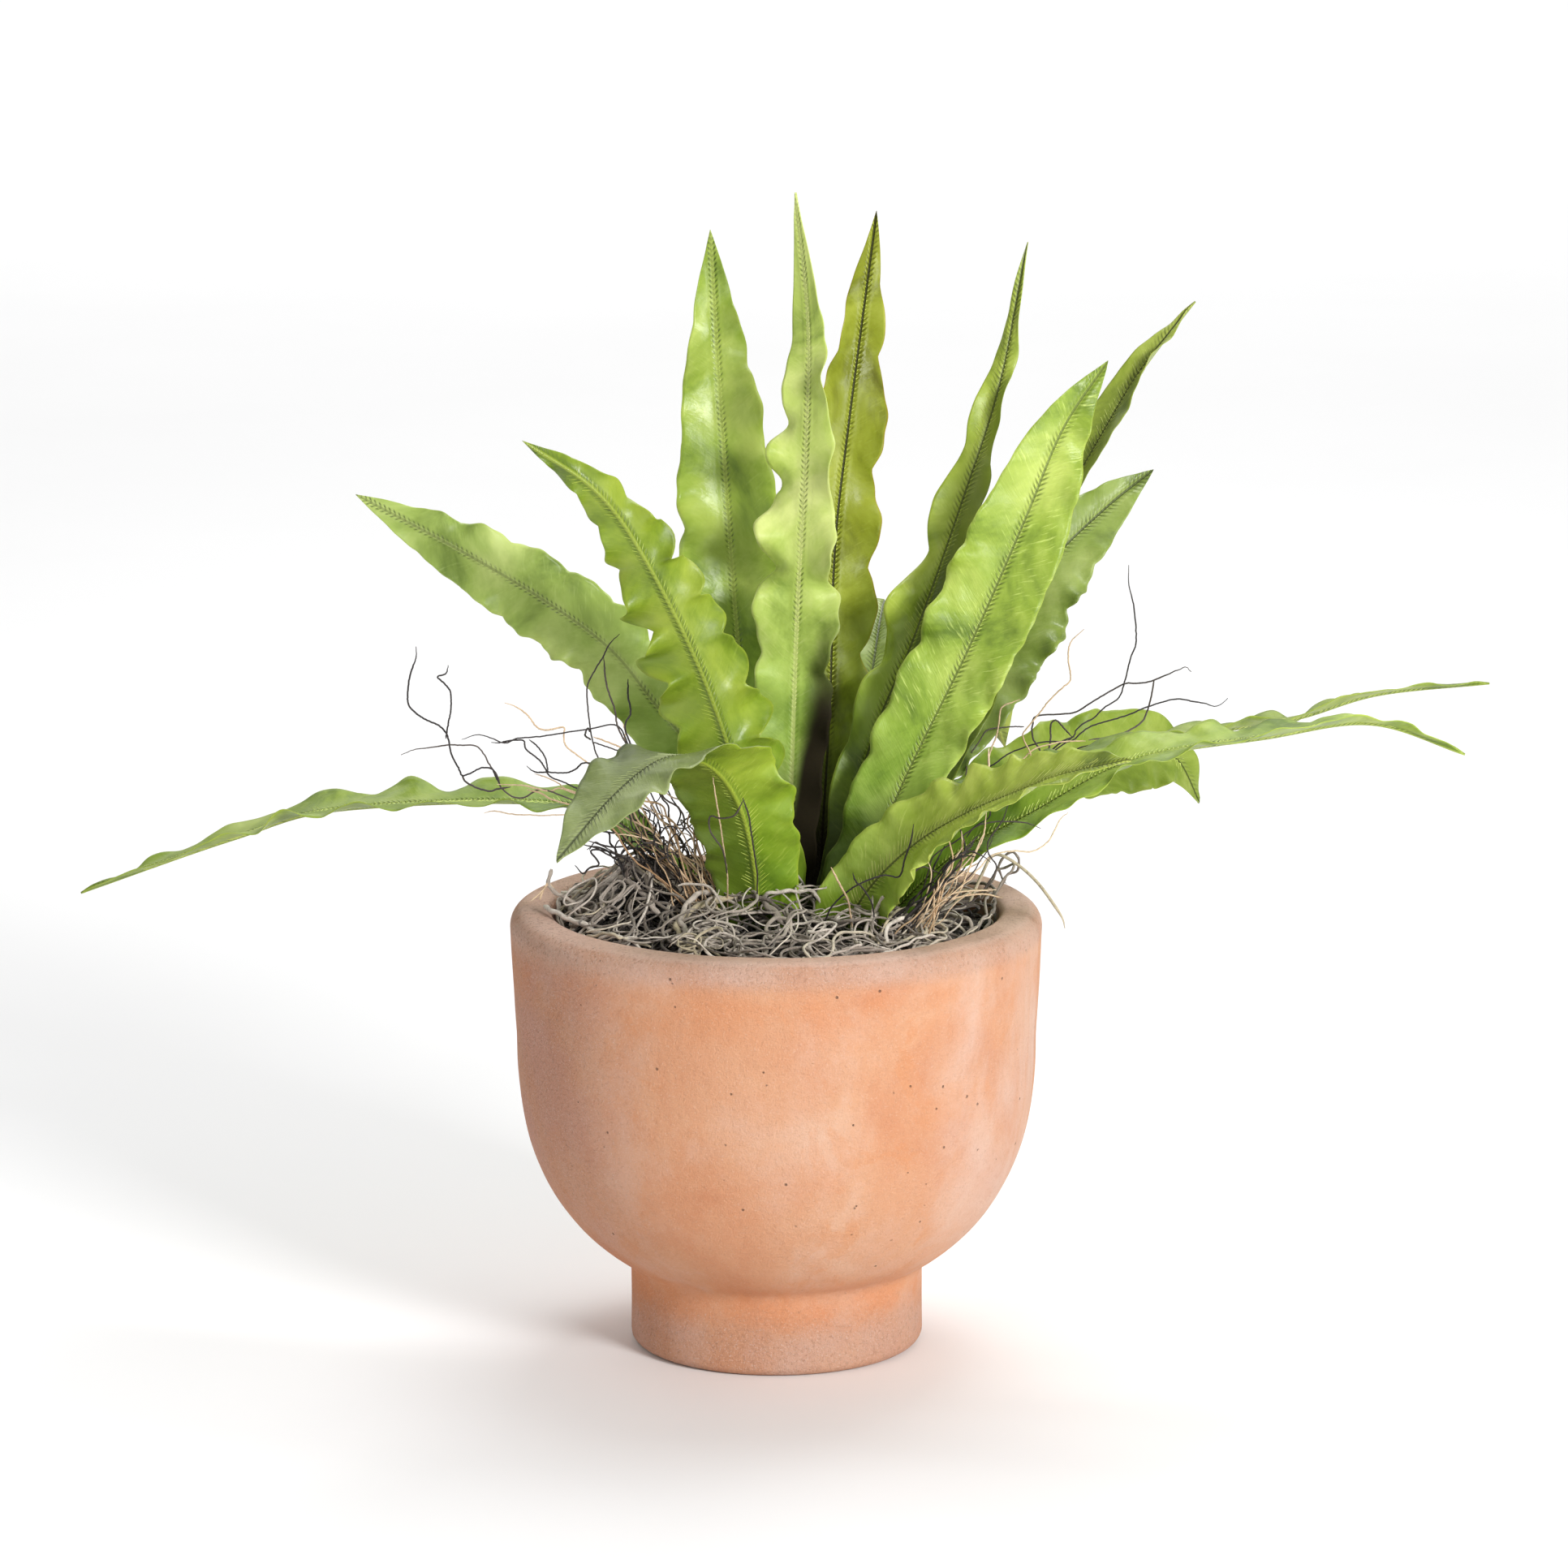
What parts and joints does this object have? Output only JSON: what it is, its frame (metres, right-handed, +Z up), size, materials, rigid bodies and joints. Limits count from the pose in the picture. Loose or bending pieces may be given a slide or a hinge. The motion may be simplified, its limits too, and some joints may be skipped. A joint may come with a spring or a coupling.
{
  "type": "potted fern",
  "caption": "Bird's-nest type fern with wavy strap fronds in a footed terracotta bowl, topped with grey Spanish moss; stands on its foot ring.",
  "frame": {"origin": "centre of the pot's foot ring, on the plane that the pot rests on", "axes": "+Z up; +X to the right, along the plant's widest spread; -Y towards the plant's front"},
  "size_m": [0.536, 0.25, 0.433],
  "materials": {
    "terracotta": "matte",
    "potting_mix": "matte",
    "rhizome": "matte",
    "spanish_moss": "matte",
    "leaf": "satin",
    "dark_root": "matte",
    "tan_root": "matte"
  },
  "bodies": {
    "root": {"pot": "terracotta", "potting_mix": "potting_mix", "crown": "rhizome", "spanish_moss": "spanish_moss", "moss_strand_right": "spanish_moss", "frond_low_left": "leaf", "frond_upper_left": "leaf", "frond_left": "leaf", "frond_curled_left": "leaf", "frond_tall_left": "leaf", "frond_centre": "leaf", "frond_tall_centre": "leaf", "frond_right_of_centre": "leaf", "frond_big_right": "leaf", "frond_far_right": "leaf", "frond_right": "leaf", "frond_front_right": "leaf", "frond_long_low_right": "leaf", "frond_long_right": "leaf", "frond_drooping_right": "leaf", "frond_back": "leaf", "frond_back_left": "leaf", "frond_back_right": "leaf", "roots_dark_left": "dark_root", "roots_dark_right": "dark_root", "roots_tan_left": "tan_root", "roots_tan_right": "tan_root"}
  },
  "joints": []
}
